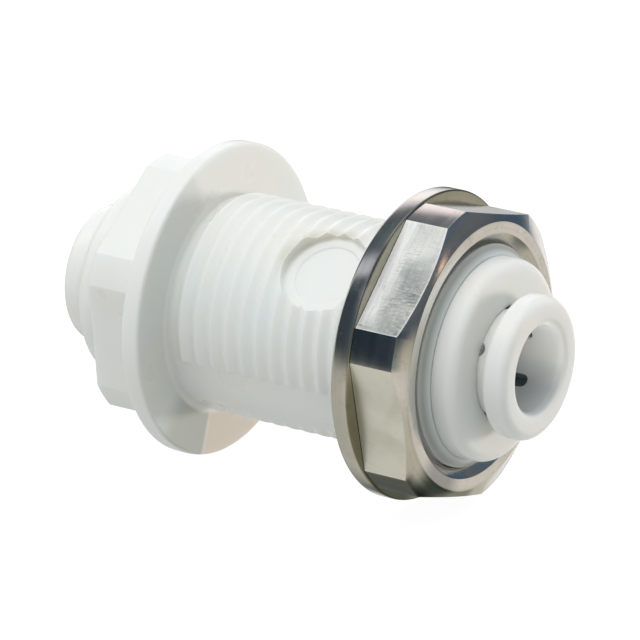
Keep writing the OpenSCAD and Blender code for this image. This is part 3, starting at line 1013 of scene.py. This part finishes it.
# What it mirrors elsewhere: height from 0 straight down to 1 straight up, colour
MIRROR_REST = [
    (0.0, (0.55, 0.54, 0.47)), (0.13, (0.52, 0.5, 0.42)), (0.27, (0.56, 0.54, 0.46)),
    (0.31, (0.72, 0.69, 0.64)), (0.35, (0.72, 0.685, 0.635)), (0.39, (0.6, 0.58, 0.48)),
    (0.455, (0.46, 0.44, 0.36)), (0.485, (0.15, 0.16, 0.17)), (0.505, (0.07, 0.09, 0.12)),
    (0.56, (0.1, 0.12, 0.145)), (0.62, (0.13, 0.145, 0.16)), (0.7, (0.08, 0.12, 0.17)),
    (0.85, (0.3, 0.33, 0.38)), (1.0, (0.6, 0.62, 0.65)),
]
# Spots in the mirrored room: direction, full and zero angle in degrees, colour
MIRROR_SPOTS = [
    ((0.44, 0.53, -0.73), 5, 15, (0.1, 0.12, 0.1)),     # something dark standing on the table
    ((0.2, 0.97, 0.0), 4, 20, (0.06, 0.1, 0.15)),       # a bluish gap beside the back wall
    ((0.875, 0.44, 0.21), 1.0, 3.5, (1.7, 1.2, 0.9)),   # a warm lamp
    ((-0.15, 0.94, -0.3), 6, 22, (1.0, 0.98, 0.97)),    # a white patch of the back wall
]
# Soft light on everything else, by the same height
SOFT = [
    (0.0, (0.82, 0.82, 0.8)), (0.25, (0.66, 0.67, 0.66)), (0.45, (0.54, 0.555, 0.56)),
    (0.6, (0.64, 0.65, 0.66)), (0.8, (0.72, 0.73, 0.74)), (1.0, (0.78, 0.78, 0.79)),
]


def make_world():
    """White to the camera, soft for diffuse light, a studio for what the metal mirrors."""
    world = bpy.data.worlds.new("world")
    bpy.context.scene.world = world
    world.use_nodes = True
    g = Graph(world.node_tree)
    direction = g.node("ShaderNodeTexCoord", output="Generated")
    x, y, z = g.split(direction)

    turn = g.fit(g.math("ARCTAN2", y * -1.0, z), -math.pi, math.pi)
    left = g.ramp(turn, [((degrees + 180) / 360, c) for degrees, c in MIRROR_LEFT])
    rest = g.ramp(g.fit(z, -1, 1), MIRROR_REST)
    mirror = g.mix(g.ease(x, -0.45, -0.22), left, rest)
    for centre, inner, outer, colour in MIRROR_SPOTS:
        closeness = g.dot(direction, tuple(Vector(centre).normalized()))
        spot = g.ease(closeness, math.cos(math.radians(outer)), math.cos(math.radians(inner)))
        mirror = g.mix(spot, mirror, colour)

    # the soft light is dimmer from the right and a little brighter from the left
    soft = g.ramp(g.fit(z, -1, 1), SOFT)
    soft = g.mix(g.fit(x, 0.0, 1.0), soft, (0.385, 0.4, 0.395))
    soft = g.mix(g.fit(x, 0.0, -1.0, to=(0.0, 0.5)), soft, (0.85, 0.85, 0.86))

    ray = g.add("ShaderNodeLightPath").outputs
    colour = g.mix(Value(g, ray["Is Glossy Ray"]), soft, mirror)
    colour = g.mix(Value(g, ray["Is Camera Ray"]), colour, (1, 1, 1))
    background = g.node("ShaderNodeBackground", {0: colour, 1: 1.0})
    g.add("ShaderNodeOutputWorld", {0: background})


# ---------------------------------------------------------------- lights, floor
def panel(name, direction, distance, size, level, colour):
    """A soft square light, in metres, aimed at the fitting; level 1 gives a facing white
    surface the same light as a white world."""
    aim = Vector((0.009, 0, 0))
    light = bpy.data.lights.new(name, "AREA")
    light.shape = "SQUARE"
    light.size = size
    light.energy = level * math.pi * math.pi * distance * distance
    light.color = colour
    toward = Vector(direction).normalized()
    o = link_object(name, light)
    o.location = aim + toward * distance
    o.rotation_euler = toward.to_track_quat("Z", "Y").to_euler()
    o.visible_glossy = False


def make_floor():
    """A plain pale floor just under the fitting, seen only by the camera."""
    z = min(corner[2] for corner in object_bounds()) - 2e-5
    half = 3.0
    mesh = bpy.data.meshes.new("floor")
    mesh.from_pydata([(-half, -half, z), (half, -half, z), (half, half, z), (-half, half, z)],
                     [], [(0, 1, 2, 3)])
    floor = link_object("floor", mesh)
    s = Surface("pale_floor")
    tone = s.noise(s.metres, scale=9.0, detail=3.0)
    strength = s.fit(tone, 0.3, 0.7, to=(0.945, 0.955))
    glow = s.node("ShaderNodeEmission", {0: (1, 1, 1, 1), 1: strength})
    diffuse = s.node("ShaderNodeBsdfDiffuse", {0: (0.16, 0.16, 0.16, 1)})
    both = s.node("ShaderNodeAddShader", {0: glow, 1: diffuse})
    s.add("ShaderNodeOutputMaterial", {0: both})
    mesh.materials.append(s.material)
    floor.visible_diffuse = False
    floor.visible_glossy = False
    floor.visible_transmission = False
    floor.visible_shadow = False
    floor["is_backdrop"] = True


make_camera()
make_world()
panel("key_softbox", direction=(0.06, -0.24, 0.96), distance=0.7, size=0.4, level=0.46,
      colour=(1.0, 1.0, 1.0))
panel("back_fill", direction=(0.5, 0.82, -0.16), distance=0.7, size=0.1, level=0.52,
      colour=(1.0, 0.9, 0.85))
make_floor()
bpy.context.scene.view_settings.view_transform = "Standard"
